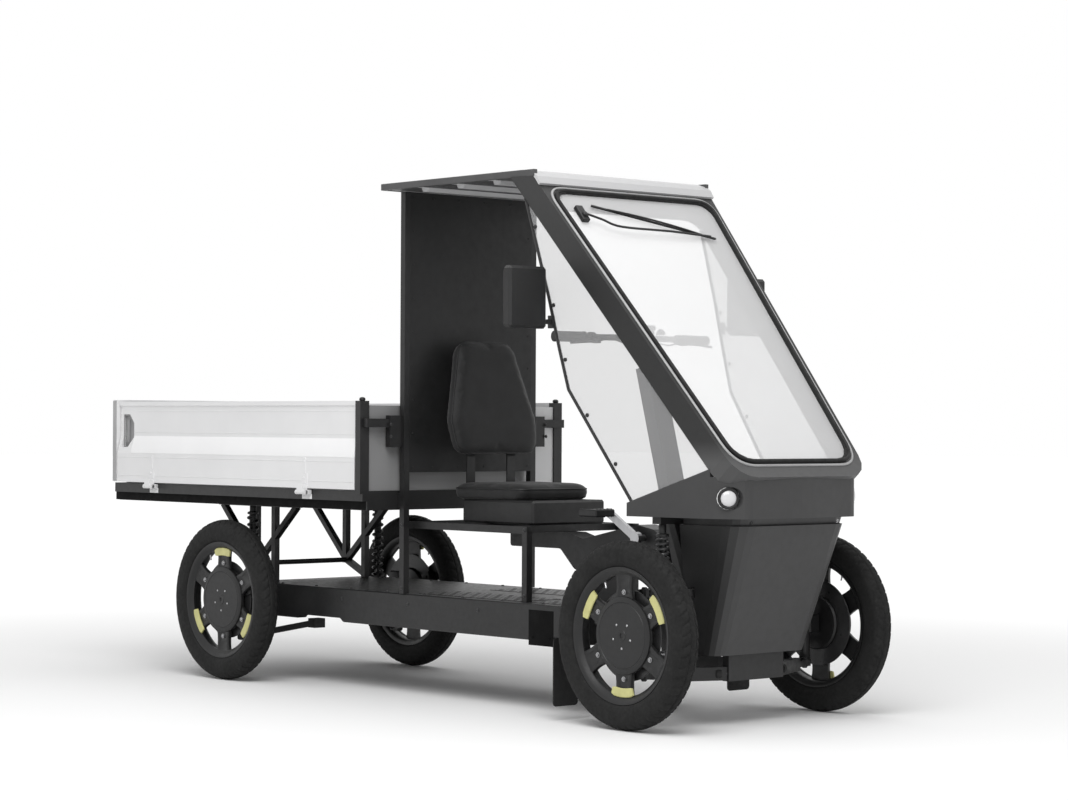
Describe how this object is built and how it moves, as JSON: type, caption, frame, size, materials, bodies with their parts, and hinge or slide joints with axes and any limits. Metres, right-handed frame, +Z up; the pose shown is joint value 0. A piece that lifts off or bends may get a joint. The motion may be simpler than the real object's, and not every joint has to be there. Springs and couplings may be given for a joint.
{
  "type": "four-wheeled cab-covered cargo bike with load bed",
  "caption": "Pedal-electric light cargo vehicle: open-sided cab with sloped windscreen, seat and handlebar in front of a drop-side load bed on spoked disc wheels.",
  "frame": {"origin": "on the ground under the middle of the overall length and width", "axes": "+X forward, +Y to the rider's left, +Z up"},
  "size_m": [3.4505, 1.268, 1.902],
  "materials": {
    "black_paint": "satin powder coat",
    "dark_panel": "satin moulded panel",
    "wall": "fine matt sheet",
    "light_panel": "light grey moulded roof",
    "board": "anodised drop-side profile",
    "glass": "clear laminated screen",
    "side_glass": "clear polycarbonate",
    "rubber": "matt rubber",
    "tyre": "moulded tyre rubber",
    "rim": "satin black",
    "seat": "matt soft cover",
    "plastic": "matt moulded plastic",
    "lamp": "clear lens over a white lamp",
    "red_lamp": "red lens",
    "steel": "bright steel"
  },
  "bodies": {
    "chassis": {"floor_platform": "black_paint", "tube_frame": "black_paint", "rear_wall": "wall", "seat_box": "black_paint", "seat_cushion": "seat", "seat_back": "seat", "main_beam": "black_paint", "front_subframe": "black_paint", "steering_column": "plastic", "cab_frame": "black_paint", "windscreen_seal": "rubber", "windscreen": "glass", "roof_panel": "light_panel", "nose_band": "dark_panel", "nose_panel": "dark_panel", "bed_frame": "black_paint", "headboard": "board", "cross_tube": "black_paint", "side_screen_right": "side_glass", "side_screen_left": "side_glass", "screen_edge_right": "black_paint", "screen_edge_left": "black_paint", "headlamp_right": "lamp", "headlamp_left": "lamp", "mirror_right": "plastic", "mirror_left": "plastic", "mudflap_right": "rubber", "mudflap_left": "rubber", "rear_carrier_right": "black_paint", "rear_carrier_left": "black_paint", "rear_shock_right": "steel", "rear_shock_left": "steel", "front_shock_right": "steel", "front_shock_left": "steel", "bed_truss_right": "black_paint", "bed_truss_left": "black_paint", "tail_lamp_right": "red_lamp", "tail_lamp_left": "red_lamp"},
    "knuckle_left": {"knuckle_left": "black_paint"},
    "wheel_front_left": {"rim_front_left": "rim", "tyre_front_left": "tyre"},
    "wheel_rear_left": {"rim_rear_left": "rim", "tyre_rear_left": "tyre"},
    "side_board_left": {"side_board_left": "board"},
    "pedal_left": {"pedal_left": "plastic"},
    "knuckle_right": {"knuckle_right": "black_paint"},
    "wheel_front_right": {"rim_front_right": "rim", "tyre_front_right": "tyre"},
    "wheel_rear_right": {"rim_rear_right": "rim", "tyre_rear_right": "tyre"},
    "side_board_right": {"side_board_right": "board"},
    "pedal_right": {"pedal_right": "plastic"},
    "tie_rod": {"tie_rod": "steel"},
    "handlebar": {"handlebar": "plastic"},
    "crank": {"crank": "steel"},
    "tailgate": {"tailgate": "board"}
  },
  "joints": [
    {"name": "handlebar_steer", "type": "hinge", "parent": "chassis", "child": "handlebar", "pos_m": [0.945, 0, 1.32], "axis": [-0.2661, 0, 0.964], "range_deg": [-30, 30]},
    {"name": "steer_left", "type": "hinge", "parent": "chassis", "child": "knuckle_left", "pos_m": [1.361, 0.395, 0.315], "axis": [0, 0, 1], "range_deg": [-30, 30]},
    {"name": "steer_right", "type": "hinge", "parent": "chassis", "child": "knuckle_right", "pos_m": [1.361, -0.395, 0.315], "axis": [0, 0, 1], "range_deg": [-30, 30]},
    {"name": "tie_rod_pivot", "type": "hinge", "parent": "knuckle_left", "child": "tie_rod", "pos_m": [1.241, 0.395, 0.232], "axis": [0, 0, 1], "range_deg": [-30, 30]},
    {"name": "spin_front_left", "type": "hinge", "parent": "knuckle_left", "child": "wheel_front_left", "pos_m": [1.361, 0.475, 0.315], "axis": [0, 1, 0], "continuous": true},
    {"name": "spin_rear_left", "type": "hinge", "parent": "chassis", "child": "wheel_rear_left", "pos_m": [-0.925, 0.475, 0.315], "axis": [0, 1, 0], "continuous": true},
    {"name": "spin_front_right", "type": "hinge", "parent": "knuckle_right", "child": "wheel_front_right", "pos_m": [1.361, -0.475, 0.315], "axis": [0, 1, 0], "continuous": true},
    {"name": "spin_rear_right", "type": "hinge", "parent": "chassis", "child": "wheel_rear_right", "pos_m": [-0.925, -0.475, 0.315], "axis": [0, 1, 0], "continuous": true},
    {"name": "crank_spin", "type": "hinge", "parent": "chassis", "child": "crank", "pos_m": [0.995, 0, 0.615], "axis": [0, 1, 0], "continuous": true},
    {"name": "pedal_spin_left", "type": "hinge", "parent": "crank", "child": "pedal_left", "pos_m": [1.13604, 0.08, 0.52937], "axis": [0, 1, 0], "continuous": true},
    {"name": "pedal_spin_right", "type": "hinge", "parent": "crank", "child": "pedal_right", "pos_m": [0.85396, -0.08, 0.70063], "axis": [0, 1, 0], "continuous": true},
    {"name": "side_board_left_drop", "type": "hinge", "parent": "chassis", "child": "side_board_left", "pos_m": [-0.869, 0.522, 0.752], "axis": [-1, 0, 0], "range_deg": [0, 180]},
    {"name": "side_board_right_drop", "type": "hinge", "parent": "chassis", "child": "side_board_right", "pos_m": [-0.869, -0.522, 0.752], "axis": [1, 0, 0], "range_deg": [0, 180]},
    {"name": "tailgate_drop", "type": "hinge", "parent": "chassis", "child": "tailgate", "pos_m": [-1.717, 0, 0.752], "axis": [0, -1, 0], "range_deg": [0, 180]}
  ],
  "couplings": [
    {"joint": "steer_left", "follows": "handlebar_steer", "ratio": 1},
    {"joint": "steer_right", "follows": "handlebar_steer", "ratio": 1},
    {"joint": "tie_rod_pivot", "follows": "handlebar_steer", "ratio": -1}
  ]
}
